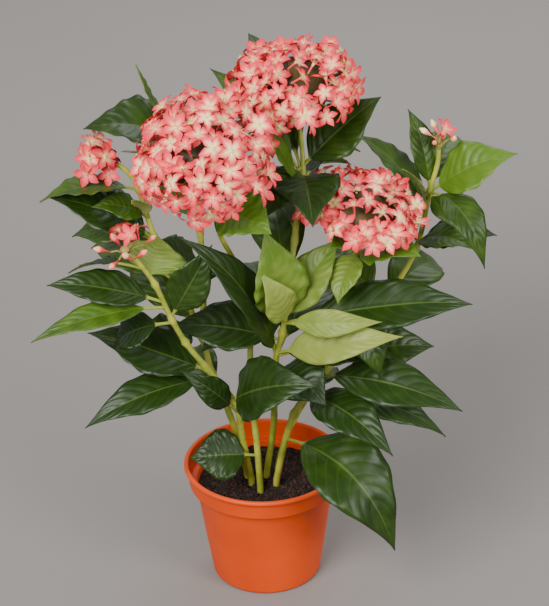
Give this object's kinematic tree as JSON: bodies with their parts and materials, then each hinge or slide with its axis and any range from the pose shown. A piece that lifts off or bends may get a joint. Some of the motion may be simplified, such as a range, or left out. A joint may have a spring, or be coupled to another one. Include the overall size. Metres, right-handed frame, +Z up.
{
  "type": "potted flowering plant",
  "caption": "Bushy flowering house plant with clusters of small star-shaped florets above pointed leaves, in soil in a round tapered plastic pot.",
  "frame": {"origin": "centre of the pot's flat underside, on the surface it stands on", "axes": "+Z up, -Y towards the side the plant is seen from, +X to that viewer's right"},
  "size_m": [0.337, 0.2296, 0.414],
  "materials": {
    "pot": "satin orange moulded plastic",
    "soil": "dark, crumbly and matte",
    "foliage": "semi-gloss green leaves on yellow-green stems",
    "petals": "soft coral pink petals with pale centres"
  },
  "bodies": {
    "root": {"pot": "pot", "soil": "soil", "stem_front_left": "foliage", "stem_back_left": "foliage", "stem_middle": "foliage", "stem_top": "foliage", "stem_right": "foliage", "stem_back_right": "foliage", "head_front": "petals", "head_top": "petals", "head_right": "petals", "head_small_left": "petals", "head_bud_left": "petals", "head_bud_right": "petals"}
  },
  "joints": []
}
